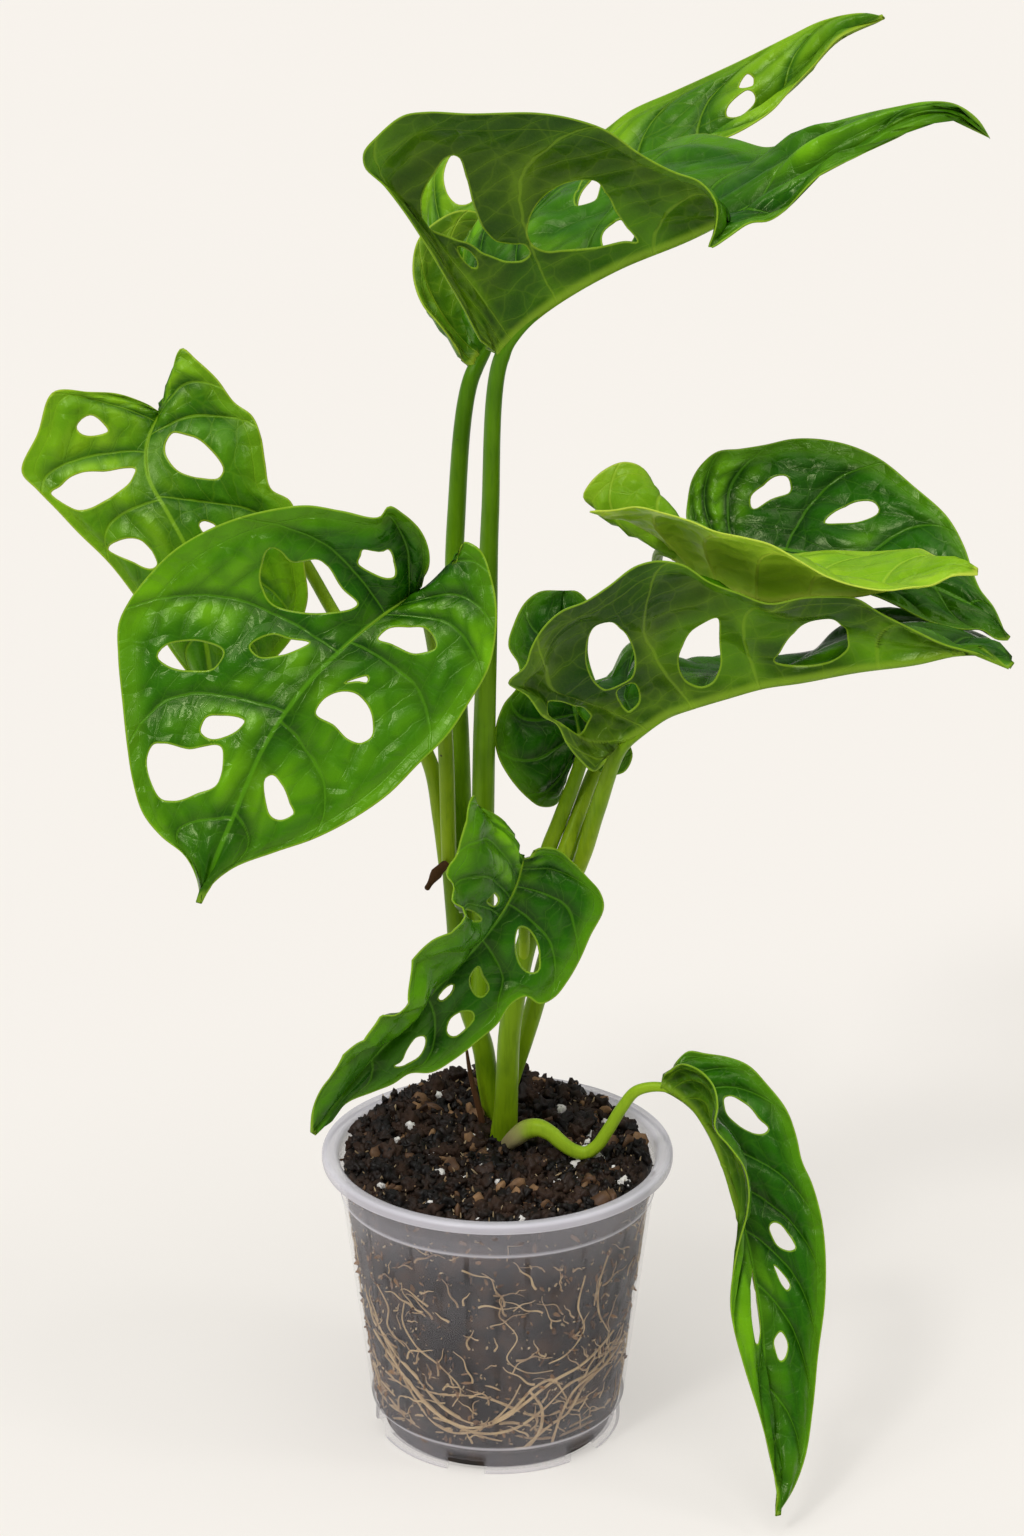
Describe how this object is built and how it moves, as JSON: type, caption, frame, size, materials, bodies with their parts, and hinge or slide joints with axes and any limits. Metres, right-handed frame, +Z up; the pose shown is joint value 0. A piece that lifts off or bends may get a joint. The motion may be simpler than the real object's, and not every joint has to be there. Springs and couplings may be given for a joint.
{
  "type": "potted swiss cheese plant",
  "caption": "Trailing aroid house plant with holed, pointed leaves on long petioles, standing in soil in a clear tapered nursery pot.",
  "frame": {"origin": "middle of the pot's flat bottom", "axes": "+Z up, -Y towards the viewer of the picture, +X to the right in the picture"},
  "size_m": [0.3221, 0.1707, 0.4779],
  "materials": {
    "leaf_green": "glossy leaf, green with paler veins",
    "leaf_light": "glossy leaf, light green with paler veins",
    "leaf_young": "satin leaf, yellow-green",
    "stalk": "satin stalk, yellow-green",
    "dry_scrap": "dry brown husk",
    "pot_plastic": "clear thin plastic with a pale lilac tint",
    "soil": "dark crumbly potting mix",
    "root": "tan roots"
  },
  "bodies": {
    "root": {"leaf_left_front": "leaf_green", "leaf_left_back": "leaf_light", "leaf_top_front": "leaf_green", "leaf_top_back": "leaf_light", "leaf_right_back": "leaf_green", "leaf_right_young": "leaf_young", "leaf_right_front": "leaf_green", "leaf_right_inner": "leaf_green", "leaf_low_front": "leaf_green", "leaf_trailing": "leaf_green", "stem_left": "stalk", "stem_front": "stalk", "stem_back": "stalk", "petiole_left_front": "stalk", "petiole_left_back": "stalk", "petiole_top_front": "stalk", "petiole_top_back": "stalk", "petiole_right_front": "stalk", "petiole_right_inner": "stalk", "petiole_right_young": "stalk", "petiole_right_back": "stalk", "petiole_low_front": "stalk", "petiole_trailing": "stalk", "dry_stub": "dry_scrap", "dry_sheath": "dry_scrap", "pot": "pot_plastic", "soil": "soil", "roots": "root"}
  },
  "joints": []
}
